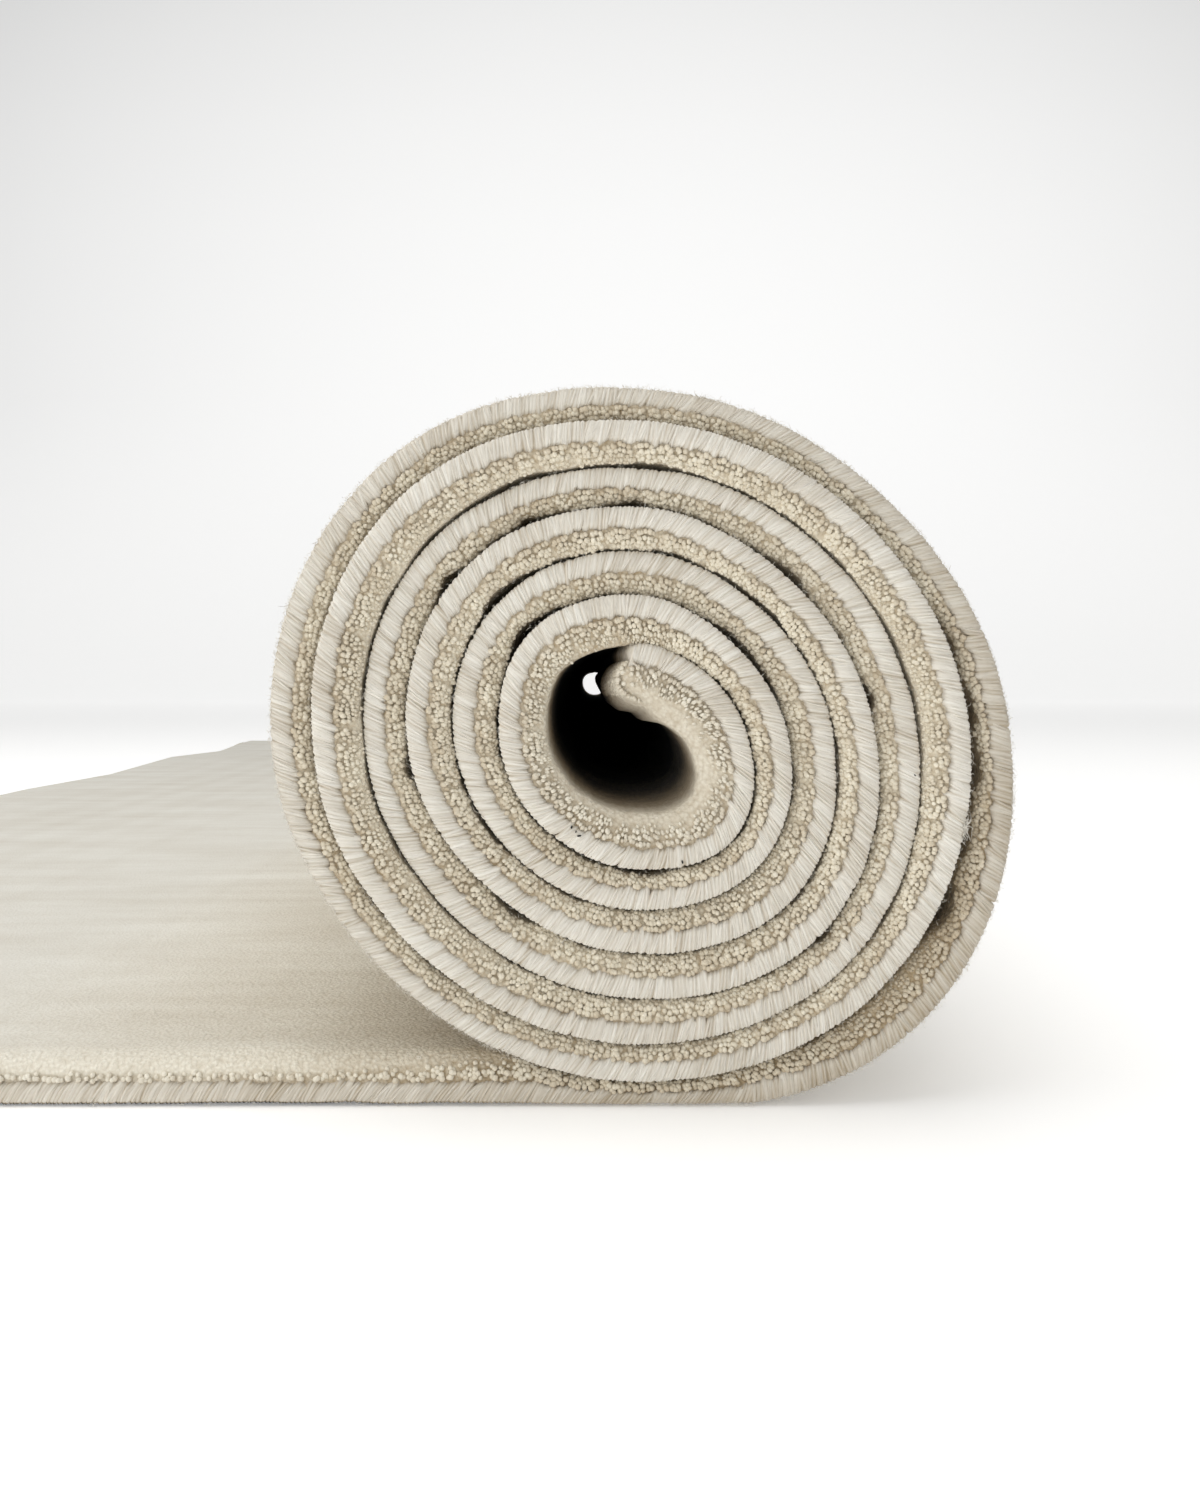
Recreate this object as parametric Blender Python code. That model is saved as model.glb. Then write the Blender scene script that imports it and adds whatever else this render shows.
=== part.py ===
"""A cream wool carpet, two metres by three, wound up with its pile inwards and its last half metre left flat.

X runs across the roll, Y along its core and Z up, in metres. The origin is under the middle of the whole
piece, on the floor. The winding starts at the rolled-in end above the core and runs outwards, clockwise as
seen from the front, which is the side of the lowest Y. At the floor it leaves the roll to the left, pile up.

The carpet is one strip with the same section all the way: a woven backing outside and pile inside. Its four
edges are whipped over with yarn. That binding is as deep as the backing, and the pile stands free above it.
"""

import math
from collections import namedtuple

import bmesh
import bpy

MM = 0.001

# The carpet, as cut and finished
WIDTH = 2.0
LENGTH = 3.0
FREE_THICKNESS = 12.4 * MM
CORE_SWELL = 4.2 * MM  # the pile opens out this much more where it faces the empty core
CORE_SWELL_AT = 0.2  # turns from the rolled-in end
CORE_SWELL_SPREAD = 0.3

# The whipped edge
BINDING_DEPTH = 4.0 * MM
BINDING_HEIGHT = 6.3 * MM
BINDING_SHARE = 0.62  # of the thickness, where the roll presses the carpet thinner
BINDING_CORNER = 1.2 * MM

# The pile's edge
PILE_RECESS = 0.5 * MM
PILE_ROUNDING = 3.0 * MM
PILE_SHOULDER = 0.6  # of the pile's height, where its edge starts to round over

GAP = 0.3 * MM
TURN_GAP = 0.4 * MM

# The winding
CORE_HEIGHT = 91.25 * MM
FIRST_TURN = -0.0167  # the rolled-in end, just past straight above the core
STATIONS_A_TURN = 30
TURN_COLUMNS = ("top", "top_right", "right", "bottom_right", "bottom", "bottom_left", "left", "top_left")
# The distance from the core's middle to the backing in mm: a row for each turn, from the inside out.
TURN_RADII = (
    (24.5, 24.0, 27.5, 34.3, 32.3, 32.5, 35.0, 38.3),
    (36.3, 33.8, 37.5, 43.3, 42.5, 42.5, 46.5, 49.5),
    (47.5, 45.0, 49.0, 55.3, 53.5, 52.8, 58.0, 61.3),
    (58.3, 55.0, 59.3, 66.5, 64.8, 64.0, 69.0, 72.0),
    (68.3, 66.5, 70.0, 76.3, 75.8, 76.3, 81.5, 84.8),
    (79.5, 78.0, 82.3, 86.3, 85.3, 85.8, 92.3, 95.0),
    (88.5, 87.0, 93.5, 100.3, 91.25),
)
# How far each turn has slipped along the core in mm, read at its top.
TURN_SLIPS = (0.0, -1.5, 0.6, -1.2, 1.0, -2.4, 2.4, 0.0)

# The loose end
UNDER_ROLL_STEP = 12 * MM
UNDER_ROLL_REACH = 96 * MM
FLAT_STEPS = 9
RIPPLE_START = 0.25  # from the core, where the ripples begin to rise
RIPPLE_CUTS = 39
Ripple = namedtuple("Ripple", "from_front height half_length")
RIPPLES = (
    Ripple(0.40, 3 * MM, 0.07),
    Ripple(0.78, 2 * MM, 0.06),
    Ripple(1.22, 6 * MM, 0.06),
    Ripple(1.53, 8 * MM, 0.09),
    Ripple(1.88, 3 * MM, 0.05),
)

PILE_COLOUR = (0.62, 0.56, 0.44)
BINDING_COLOUR = (0.70, 0.66, 0.60)

# One place along the carpet: the backing's point, the way to the pile, the thickness there, how far that
# place has slipped along the core, and its distance from the rolled-in end.
Station = namedtuple("Station", "x z to_pile_x to_pile_z thickness slip")


def smooth_curve(values, place):
    """A smooth curve through evenly spaced values, read at a place that is counted in their steps."""
    last = len(values) - 1
    step = min(max(int(place), 0), last - 1)
    share = place - step
    here = values[step]
    there = values[step + 1]
    slope_here = (there - values[step - 1]) / 2 if step > 0 else there - here
    slope_there = (values[step + 2] - here) / 2 if step + 2 <= last else there - here
    bend = 3 * (there - here) - 2 * slope_here - slope_there
    twist = 2 * (here - there) + slope_here + slope_there
    return here + slope_here * share + bend * share**2 + twist * share**3


RADII = [radius * MM for turn in TURN_RADII for radius in turn]
SLIPS = [slip * MM for slip in TURN_SLIPS]


def winding_angle(turns):
    return math.pi / 2 - 2 * math.pi * turns


def backing_radius(turns):
    """The backing's distance from the core's middle, where the floor flattens the last turn."""
    radius = smooth_curve(RADII, turns * len(TURN_COLUMNS))
    down = -math.sin(winding_angle(turns))
    if down > 0:
        radius = min(radius, CORE_HEIGHT / down)
    return radius


def free_thickness(turns):
    swell = math.exp(-(((turns - CORE_SWELL_AT) / CORE_SWELL_SPREAD) ** 2))
    return FREE_THICKNESS + CORE_SWELL * swell


def wound_station(turns):
    angle = winding_angle(turns)
    radius = backing_radius(turns)
    thickness = free_thickness(turns)
    if turns > 1 + FIRST_TURN:
        thickness = min(thickness, radius - backing_radius(turns - 1) - TURN_GAP)
    outward_x = math.cos(angle)
    outward_z = math.sin(angle)
    x = radius * outward_x
    z = CORE_HEIGHT + radius * outward_z
    return Station(x, z, -outward_x, -outward_z, thickness, smooth_curve(SLIPS, turns))


def roll_height_above(x):
    """The height of the roll's underside over a place on the floor left of the core, by halving."""
    low = LAST_TURN - 1
    high = low + 0.25
    for _ in range(40):
        middle = (low + high) / 2
        if backing_radius(middle) * math.cos(winding_angle(middle)) > x:
            low = middle
        else:
            high = middle
    return CORE_HEIGHT + backing_radius(low) * math.sin(winding_angle(low))


def flat_station(x):
    thickness = FREE_THICKNESS
    if x > -UNDER_ROLL_REACH:
        thickness = min(thickness, roll_height_above(x) - TURN_GAP)
    slip = smooth_curve(SLIPS, LAST_TURN)
    return Station(x, 0.0, 0.0, 1.0, thickness, slip)


LAST_TURN = len(TURN_RADII) - 1 + 0.5  # where the carpet leaves the roll, straight under the core


def along(stations):
    """The distance of each station from the first, measured on the backing."""
    distances = [0.0]
    for before, after in zip(stations, stations[1:]):
        distances.append(distances[-1] + math.hypot(after.x - before.x, after.z - before.z))
    return distances


def turns_after(distance):
    """The turn count at a short distance from the rolled-in end."""
    return FIRST_TURN + distance / (2 * math.pi * backing_radius(FIRST_TURN))


def carpet_stations(inset):
    """The stations from one end of the carpet to the other, both ends drawn in by inset."""
    first = math.ceil(turns_after(BINDING_DEPTH + 2 * GAP) * STATIONS_A_TURN)
    last = round(LAST_TURN * STATIONS_A_TURN)
    rolled = [wound_station(FIRST_TURN)]
    rolled += [wound_station(step / STATIONS_A_TURN) for step in range(first, last + 1)]
    loose_length = LENGTH - along(rolled)[-1]
    under = [-UNDER_ROLL_STEP * step for step in range(1, round(UNDER_ROLL_REACH / UNDER_ROLL_STEP) + 1)]
    end = -loose_length + inset
    last_step = -loose_length + BINDING_DEPTH + 2 * GAP
    flat = [under[-1] + (last_step - under[-1]) * step / FLAT_STEPS for step in range(1, FLAT_STEPS + 1)]
    start = wound_station(turns_after(inset))
    return [start, *rolled[1:], *map(flat_station, [*under, *flat, end])]


WHOLE = carpet_stations(0.0)
SHIFT_X = -(min(s.x for s in WHOLE) + max(s.x for s in WHOLE)) / 2
SHIFT_SLIP = -(min(s.slip for s in WHOLE) + max(s.slip for s in WHOLE)) / 2


def binding_height(station):
    return min(BINDING_HEIGHT, BINDING_SHARE * station.thickness)


def place(station, y, height):
    """The point at a height over the backing, with y counted from the front edge."""
    return (
        station.x + SHIFT_X + station.to_pile_x * height,
        y - WIDTH / 2 + station.slip + SHIFT_SLIP,
        station.z + station.to_pile_z * height,
    )


def lift(x, y):
    """How far the loose end has risen off the floor at a place."""
    out = SHIFT_X - RIPPLE_START - x
    whole_rise = SHIFT_X - RIPPLE_START - (WHOLE[-1].x + SHIFT_X)
    if out <= 0:
        return 0.0
    from_front = y + WIDTH / 2
    rise = (out / whole_rise) ** 2
    return rise * sum(
        ripple.height * math.exp(-(((from_front - ripple.from_front) / ripple.half_length) ** 2))
        for ripple in RIPPLES
    )


def ring_of(mesh, station, section):
    """New points around one section, given as (y, height) pairs."""
    return [mesh.verts.new(place(station, y, height)) for y, height in section]


def join_rings(mesh, before, after):
    for step in range(len(before)):
        beside = (step + 1) % len(before)
        mesh.faces.new((before[step], before[beside], after[beside], after[step]))


def long_edges(mesh, beyond):
    """The edges that run the whole width in the stretch that ripples."""
    return [
        edge
        for edge in mesh.edges
        if edge.calc_length() > WIDTH / 2 and max(v.co.x for v in edge.verts) < beyond
    ]


def add_ripples(mesh):
    edges = long_edges(mesh, SHIFT_X - RIPPLE_START)
    bmesh.ops.subdivide_edges(mesh, edges=edges, cuts=RIPPLE_CUTS, use_grid_fill=True)
    for vert in mesh.verts:
        vert.co.z += lift(vert.co.x, vert.co.y)


def make_object(name, mesh, colour, roughness):
    bmesh.ops.recalc_face_normals(mesh, faces=mesh.faces)
    data = bpy.data.meshes.new(name)
    mesh.to_mesh(data)
    mesh.free()
    data.shade_smooth()
    data.set_sharp_from_angle(angle=math.radians(40))
    material = bpy.data.materials.new(name)
    material.use_nodes = True
    shader = material.node_tree.nodes["Principled BSDF"]
    shader.inputs["Base Color"].default_value = (*colour, 1)
    shader.inputs["Roughness"].default_value = roughness
    shader.inputs["Metallic"].default_value = 0.0
    data.materials.append(material)
    made = bpy.data.objects.new(name, data)
    bpy.context.scene.collection.objects.link(made)
    return made


def pile_section(station, low_end):
    """The free pile over the binding, from the back round over the top to the front."""
    under = binding_height(station) + GAP
    top = station.thickness
    shoulder = under + PILE_SHOULDER * (top - under)
    if low_end:
        top = shoulder + (top - shoulder) / 2
    front = PILE_RECESS
    back = WIDTH - PILE_RECESS
    return [
        (back, under),
        (back, shoulder),
        (back - PILE_ROUNDING, top),
        (front + PILE_ROUNDING, top),
        (front, shoulder),
        (front, under),
    ]


def make_carpet():
    """The woven carpet with its pile: the backing stops short of the binding, the pile reaches over it."""
    inner_front = BINDING_DEPTH + GAP
    inner_back = WIDTH - inner_front
    stations = carpet_stations(PILE_RECESS)
    mesh = bmesh.new()
    rings = []
    for station in stations:
        at_end = station in (stations[0], stations[-1])
        under = binding_height(station) + GAP
        section = [*pile_section(station, at_end), (inner_front, under)]
        if not at_end:
            section += [(inner_front, 0.0), (inner_back, 0.0)]
        section.append((inner_back, under))
        rings.append(ring_of(mesh, station, section))
    for before, after in zip(rings[1:-1], rings[2:-1]):
        join_rings(mesh, before, after)
    for tip, full in ((rings[0], rings[1]), (rings[-1], rings[-2])):
        close_end(mesh, tip, full)
    add_ripples(mesh)
    return make_object("carpet", mesh, PILE_COLOUR, 0.95)


def close_end(mesh, tip, full):
    """The end of the carpet: pile that reaches over the end binding, and the backing's cut edge."""
    back_under, back_shoulder, back_top, front_top, front_shoulder, front_under, inner_front, inner_back = tip
    over = [*full[:7], full[9]]
    join_rings(mesh, tip, over)
    mesh.faces.new(full[6:10])
    mesh.faces.new((inner_front, inner_back, back_top, front_top))
    mesh.faces.new((front_under, inner_front, front_top, front_shoulder))
    mesh.faces.new((inner_back, back_under, back_shoulder, back_top))


def side_section(station, at_end):
    """The whipped edge's section as (depth, height) pairs, its outer side rounded."""
    height = binding_height(station)
    low = 0.0
    if at_end:
        low = BINDING_CORNER
        height -= BINDING_CORNER
    return [
        (BINDING_DEPTH, low),
        (BINDING_CORNER, low),
        (0.0, (low + height) / 2),
        (BINDING_CORNER, height),
        (BINDING_DEPTH, height),
    ]


def make_side_binding(name, at_back):
    """The binding along one of the two long edges, wound up with the carpet."""
    stations = [WHOLE[0], *carpet_stations(BINDING_CORNER)[:1], *WHOLE[1:-1]]
    stations += [*carpet_stations(BINDING_CORNER)[-1:], WHOLE[-1]]
    mesh = bmesh.new()
    rings = []
    for station in stations:
        at_end = station in (stations[0], stations[-1])
        section = [
            (WIDTH - depth if at_back else depth, height)
            for depth, height in side_section(station, at_end)
        ]
        rings.append(ring_of(mesh, station, section))
    for before, after in zip(rings, rings[1:]):
        join_rings(mesh, before, after)
    mesh.faces.new(rings[0])
    mesh.faces.new(rings[-1])
    for vert in mesh.verts:
        vert.co.z += lift(vert.co.x, vert.co.y)
    return make_object(name, mesh, BINDING_COLOUR, 0.85)


def make_end_binding(name, outermost, inner, full_height_at):
    """The binding across one end, from its outer side to the carpet's cut edge."""
    front = BINDING_DEPTH + GAP
    back = WIDTH - front
    mesh = bmesh.new()
    rings = []
    for station in (outermost, full_height_at, inner):
        height = binding_height(station)
        low = 0.0
        if station is outermost:
            low = BINDING_CORNER
            height -= BINDING_CORNER
        section = [(front, low), (back, low), (back, height), (front, height)]
        rings.append(ring_of(mesh, station, section))
    for before, after in zip(rings, rings[1:]):
        join_rings(mesh, before, after)
    mesh.faces.new(rings[0])
    mesh.faces.new(rings[-1])
    add_ripples(mesh)
    return make_object(name, mesh, BINDING_COLOUR, 0.85)


def clear_scene():
    for leftover in list(bpy.data.objects):
        bpy.data.objects.remove(leftover)


clear_scene()
make_carpet()
make_side_binding("binding_front", at_back=False)
make_side_binding("binding_back", at_back=True)
CORNERS = carpet_stations(BINDING_CORNER)
INNER_EDGES = carpet_stations(BINDING_DEPTH)
make_end_binding("binding_rolled_end", WHOLE[0], INNER_EDGES[0], CORNERS[0])
make_end_binding("binding_loose_end", WHOLE[-1], INNER_EDGES[-1], CORNERS[-1])
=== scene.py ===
# %% [markdown]
# # A rolled up carpet
# A cream wool carpet, two metres by three, is wound up with its pile inwards, and its last half metre lies
# flat on the floor. The solids of the real size come from the frame. This lesson builds the cloth, the tufts
# and the whipped yarn edge around them, all in metres.
# %% Load the frame
import math

import bpy
import numpy as np
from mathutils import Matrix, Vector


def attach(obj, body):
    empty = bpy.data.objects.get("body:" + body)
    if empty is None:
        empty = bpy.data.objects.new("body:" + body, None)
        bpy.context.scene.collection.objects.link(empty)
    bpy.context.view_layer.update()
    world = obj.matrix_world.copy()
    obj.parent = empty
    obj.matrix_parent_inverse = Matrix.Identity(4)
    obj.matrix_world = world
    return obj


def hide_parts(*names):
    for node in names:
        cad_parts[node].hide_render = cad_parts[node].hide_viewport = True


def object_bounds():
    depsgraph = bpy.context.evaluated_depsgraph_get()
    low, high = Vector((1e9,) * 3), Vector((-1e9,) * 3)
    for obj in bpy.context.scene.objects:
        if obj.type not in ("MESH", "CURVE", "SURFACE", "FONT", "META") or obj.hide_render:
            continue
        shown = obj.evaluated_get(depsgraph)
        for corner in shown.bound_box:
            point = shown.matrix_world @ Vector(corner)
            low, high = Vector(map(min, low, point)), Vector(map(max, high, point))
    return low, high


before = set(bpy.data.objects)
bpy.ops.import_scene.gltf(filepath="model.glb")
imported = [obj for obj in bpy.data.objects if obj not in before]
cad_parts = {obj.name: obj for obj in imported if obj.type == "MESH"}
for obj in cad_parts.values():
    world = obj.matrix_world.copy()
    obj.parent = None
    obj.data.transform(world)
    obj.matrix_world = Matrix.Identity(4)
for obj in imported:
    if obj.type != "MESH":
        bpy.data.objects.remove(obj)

MM = 0.001
CAD_LOW, CAD_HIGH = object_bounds()
print("frame", [round(v, 3) for v in (*CAD_LOW, *CAD_HIGH)])

# %% [markdown]
# ## The winding
# Seen from its edge a rolled carpet is a spiral, and a spiral is easiest to say as a distance from the core
# for each compass point of each turn. A smooth curve through those distances gives the backing's line. Every
# tuft and wrap is later placed by its distance along that line, its height over it and its depth behind the
# edge. So one function bends everything at once.
# %% The winding's sizes
FIRST_TURN = -0.0167
TURN_COLUMNS = ("top", "top_right", "right", "bottom_right", "bottom", "bottom_left", "left", "top_left")
TURN_RADII = (
    (24.5, 24, 27.5, 34.3, 32.3, 32.5, 35, 38.3),
    (36.3, 33.8, 37.5, 43.3, 42.5, 42.5, 46.5, 49.5),
    (47.5, 45, 49, 55.3, 53.5, 52.8, 58, 61.3),
    (58.3, 55, 59.3, 66.5, 64.8, 64, 69, 72),
    (68.3, 66.5, 70, 76.3, 75.8, 76.3, 81.5, 84.8),
    (79.5, 78, 82.3, 86.3, 85.3, 85.8, 92.3, 95),
    (88.5, 87, 93.5, 100.3, 91.25),
)
TURN_SLIPS = (0, -1.5, 0.6, -1.2, 1, -2.4, 2.4, 0)  # how far back each turn has slipped, in millimetres
LAST_TURN = len(TURN_RADII) - 0.5
CORE_HEIGHT = 91.25 * MM
FREE_THICKNESS = 12.4 * MM
CORE_SWELL, SWELL_TURN, SWELL_HALF = 4.2 * MM, 0.2, 0.3
TURN_GAP = 0.4 * MM
BINDING_HEIGHT = 6.3 * MM
BINDING_SHARE = 0.62
WIDTH = 2.0


def bell(value, middle, half, power=2):
    """One at the middle and fading to nought around it. A higher power makes the top flatter."""
    return np.exp(-(((value - middle) / half) ** power))


def smooth_curve(values, places):
    """A smooth curve through evenly spaced values, read at places counted in their steps."""
    values = np.asarray(values, float)
    last = len(values) - 1
    step = np.clip(np.floor(places).astype(int), 0, last - 1)
    share = places - step
    slopes = np.empty(last + 1)
    slopes[1:-1] = (values[2:] - values[:-2]) / 2
    slopes[0] = values[1] - values[0]
    slopes[-1] = values[-1] - values[-2]
    rise = values[step + 1] - values[step]
    bend = 3 * rise - 2 * slopes[step] - slopes[step + 1]
    twist = slopes[step] + slopes[step + 1] - 2 * rise
    return values[step] + slopes[step] * share + bend * share**2 + twist * share**3


def backing_radius(turns):
    radius = smooth_curve([r * MM for row in TURN_RADII for r in row], turns * len(TURN_COLUMNS))
    down = np.maximum(-np.sin(np.pi / 2 - 2 * np.pi * turns), 1e-6)
    return np.minimum(radius, CORE_HEIGHT / down)

# %% The backing's line
WINDING_STEPS = 7000
LOOSE_STEP = 0.4 * MM
turns = np.linspace(FIRST_TURN, LAST_TURN, WINDING_STEPS)
angle = np.pi / 2 - 2 * np.pi * turns
radius = backing_radius(turns)
ROLL_X = CAD_HIGH.x - float((radius * np.cos(angle)).max())
free = FREE_THICKNESS + CORE_SWELL * bell(turns, SWELL_TURN, SWELL_HALF)
pressed = radius - backing_radius(turns - 1) - TURN_GAP
thick = np.where(turns > 1 + FIRST_TURN, np.minimum(free, pressed), free)

under_roll = (turns > LAST_TURN - 1) & (turns < LAST_TURN - 0.75)
roll_x = (radius * np.cos(angle))[under_roll]
roll_z = (CORE_HEIGHT + radius * np.sin(angle))[under_roll]
loose_x = np.arange(-LOOSE_STEP, CAD_LOW.x - ROLL_X, -LOOSE_STEP)
loose_room = np.interp(-loose_x, -roll_x, roll_z, right=1.0) - TURN_GAP
loose_thick = np.minimum(FREE_THICKNESS, loose_room)

LINE_X = np.concatenate([radius * np.cos(angle), loose_x]) + ROLL_X
LINE_Z = np.concatenate([CORE_HEIGHT + radius * np.sin(angle), np.zeros(len(loose_x))])
PILE_X = np.concatenate([-np.cos(angle), np.zeros(len(loose_x))])
PILE_Z = np.concatenate([-np.sin(angle), np.ones(len(loose_x))])
THICK = np.concatenate([thick, loose_thick])
slips = smooth_curve([s * MM for s in TURN_SLIPS], np.concatenate([turns, np.full(len(loose_x), LAST_TURN)]))
SLIP = slips - (slips.min() + slips.max()) / 2
ALONG = np.concatenate([[0.0], np.cumsum(np.hypot(np.diff(LINE_X), np.diff(LINE_Z)))])
LENGTH = float(ALONG[-1])
ROLLED = float(ALONG[len(turns) - 1])
print(f"backing {LENGTH:.3f} m, of it {ROLLED:.3f} m rolled around x {ROLL_X:.3f}")


def along_at(turn):
    """The distance along the carpet at some turn of the winding."""
    return np.interp(turn, turns, ALONG[: len(turns)])

# %% [markdown]
# ## Places on the carpet
# Nothing made of cloth is quite even: the loose end has low ripples, the edge sways, and the rolled-in end
# isn't square. It all goes into the one function that turns a place on the carpet into a place in the room,
# so yarn and tufts follow the cloth, whatever it does.
# %% Ripples and waves
RIPPLE_START = 0.25
RIPPLES = ((0.40, 3, 0.07), (0.78, 2, 0.06), (1.22, 6, 0.06), (1.53, 8, 0.09), (1.88, 3, 0.05))
SWAY = ((0.22 * MM, 19, 1), (0.16 * MM, 7, 2))
LOWEST_SWAY = -0.05 * MM
SWAY_REACH = 25 * MM


def lift(x, y):
    """How far the loose end has risen off the floor. Each ripple has a place, a height and half a length."""
    out = np.maximum(ROLL_X - RIPPLE_START - x, 0.0) / (ROLL_X - RIPPLE_START - CAD_LOW.x)
    from_front = y + WIDTH / 2
    return out**2 * sum(height * MM * bell(from_front, at, half) for at, height, half in RIPPLES)


def slow_noise(along, step, seed):
    """A smooth random line, from minus one to one."""
    values = np.random.default_rng(seed).uniform(-1, 1, int(LENGTH / step) + 3)
    return smooth_curve(values, np.clip(along / step, 0, len(values) - 1))


def waves(along, sizes):
    """Smooth random lines added up. Each has a size, a step in millimetres and a seed."""
    return sum(size * slow_noise(along, step * MM, seed) for size, step, seed in sizes)


def edge_sway(along, depth):
    """The whipped edge is not quite even: it waves up and down a little and calms down further in."""
    return np.maximum(waves(along, SWAY), LOWEST_SWAY) * bell(depth, 0, SWAY_REACH)

# %% From the carpet to the room
TIP_LEAN, LEAN_DEPTH, LEAN_HALF = 4.0 * MM, 28 * MM, 22 * MM
FAR_TIP, FAR_TIP_HALF = 15 * MM, 60 * MM
TIP_CURL = 22.0


def tip_lean(along, depth):
    """The rolled-in end reaches further just behind its front corner, and less far back."""
    forward = TIP_LEAN * (1 - np.exp(-depth / LEAN_DEPTH)) * bell(along, 0, LEAN_HALF)
    return forward - FAR_TIP * (depth / WIDTH) ** 2 * bell(along, 0, FAR_TIP_HALF)


def place(along, depth, height):
    """Points from the distance along the carpet, the depth behind its front edge and the height over it."""
    along, depth, height = np.broadcast_arrays(along, depth, height)
    along = along - tip_lean(along, depth)
    inside = np.clip(along, 0.0, LENGTH)
    past = along - inside
    line_x, line_z, pile_x, pile_z, slip = (
        np.interp(inside, ALONG, values) for values in (LINE_X, LINE_Z, PILE_X, PILE_Z, SLIP)
    )
    height = height + edge_sway(inside, depth) + TIP_CURL * np.minimum(past, 0) ** 2
    x = line_x + pile_x * height - past * pile_z
    y = depth - WIDTH / 2 + slip
    z = line_z + pile_z * height + past * pile_x
    return np.stack([x, y, z + lift(x, y)], axis=-1)


def thickness(along):
    return np.interp(along, ALONG, THICK)


def binding_height(along):
    return np.minimum(BINDING_HEIGHT, BINDING_SHARE * thickness(along))

# %% [markdown]
# ## Hollows between the turns
# Where tufts are crushed or lost, the pile falls short of the next turn, and a dark gap shows. The larger
# gaps are listed, each with its turn, its depth and half its length. Slow waves add the small ones. At
# the core nothing presses on the pile, so there it stands up and hangs inwards.
# %% The hollows
HOLLOWS = (
    (1, -0.9, 28), (1.36, 0.5, 6), (1.5, 1.4, 9), (1.87, 2.2, 8), (2.13, 1.4, 13), (2.3, 0.5, 9),
    (2.88, 1.5, 9), (3.12, 0.7, 12), (3.37, 0.7, 10), (3.6, 1.4, 5), (3.73, 2, 4), (3.86, 2.2, 4.5),
    (3.925, 1.7, 5), (4, 1.6, 4), (4.12, 2, 7), (4.22, 1.5, 5), (4.38, 1.3, 4), (4.93, 0.7, 10),
    (5, 0.8, 12), (5.62, 0.6, 5), (6.2, 2.2, 8), (6.235, 3.4, 9), (6.265, 3.8, 9), (6.3, 3, 9),
    (6.33, 3.6, 8), (6.41, 1.4, 10),
)
MEAN_HOLLOW = 0.12 * MM
HOLLOW_WAVES = ((0.3 * MM, 9, 7), (0.22 * MM, 3, 8))
HOLLOW_REACH = 30 * MM
MOUTH_PILE, MOUTH_START, MOUTH_END, MOUTH_REACH = 4.5 * MM, 0.04, 0.2, 0.15
NOSE_PILE, NOSE_AT, NOSE_HALF = 4.6 * MM, 12 * MM, 17 * MM
NOSE_BUILDS, NOSE_FADES = 22 * MM, 0.3


def hollow(along):
    """How far the pile's edge falls short of the next turn."""
    out = MEAN_HOLLOW + waves(along, HOLLOW_WAVES)
    return out + sum(depth * MM * bell(along, along_at(turn), half * MM) for turn, depth, half in HOLLOWS)


def back_thickness(along, from_back):
    """The carpet's thickness near the back edge, where the free pile at the core stands up a little more."""
    walls = bell(along, 0, MOUTH_END, 4) - bell(along, 0, MOUTH_START)
    return thickness(along) + MOUTH_PILE * walls * bell(from_back, 0, MOUTH_REACH)


def front_thickness(along, depth):
    """The thickness near the front edge, less the hollows, more where the nose's pile hangs inwards."""
    hangs = NOSE_PILE * (1 - np.exp(-depth / NOSE_BUILDS)) * bell(depth, 0, NOSE_FADES)
    whole = back_thickness(along, WIDTH - depth) + hangs * bell(along, NOSE_AT, NOSE_HALF)
    return whole - hollow(along) * bell(depth, 0, HOLLOW_REACH)

# %% [markdown]
# ## Camera
# The camera stands close to the edge of the roll, a little above the middle of it, and looks straight along
# the core, so the core's far opening shows as a small light spot. A slight shift frames the roll.
# %% The camera
EYE_TO_EDGE = 0.342
EYE_LEFT, EYE_HEIGHT = 13 * MM, 107 * MM
LENS, SHIFT_X, SHIFT_Y = 33.12, 0.0087, -0.0487
camera_data = bpy.data.cameras.new("camera")
camera_data.lens, camera_data.shift_x, camera_data.shift_y = LENS, SHIFT_X, SHIFT_Y
camera_data.clip_start = 0.01
camera = bpy.data.objects.new("camera", camera_data)
camera.location = (ROLL_X - EYE_LEFT, -WIDTH / 2 - EYE_TO_EDGE, EYE_HEIGHT)
camera.rotation_euler = (math.pi / 2, 0, 0)
bpy.context.scene.collection.objects.link(camera)
bpy.context.scene.camera = camera
print("camera", [round(v, 3) for v in camera.location])

# %% [markdown]
# ## Shared finish of wool
# Wool is never one flat colour. Every tuft and yarn has its own tone, broad patches run warmer or greyer,
# and the surface is a fine fuzz. One shader group says that for every material, and each gives it its own
# two colours, grain and relief.
# %% Small helpers for shader nodes
def set_inputs(tree, node, inputs):
    """Give inputs their values, or link them to the outputs of other nodes."""
    for name, value in inputs.items():
        if isinstance(value, bpy.types.NodeSocket):
            tree.links.new(value, node.inputs[name])
        else:
            node.inputs[name].default_value = value


def add_node(tree, kind, inputs=None, **settings):
    node = tree.nodes.new(kind)
    for name, value in settings.items():
        setattr(node, name, value)
    set_inputs(tree, node, inputs or {})
    return node

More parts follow.
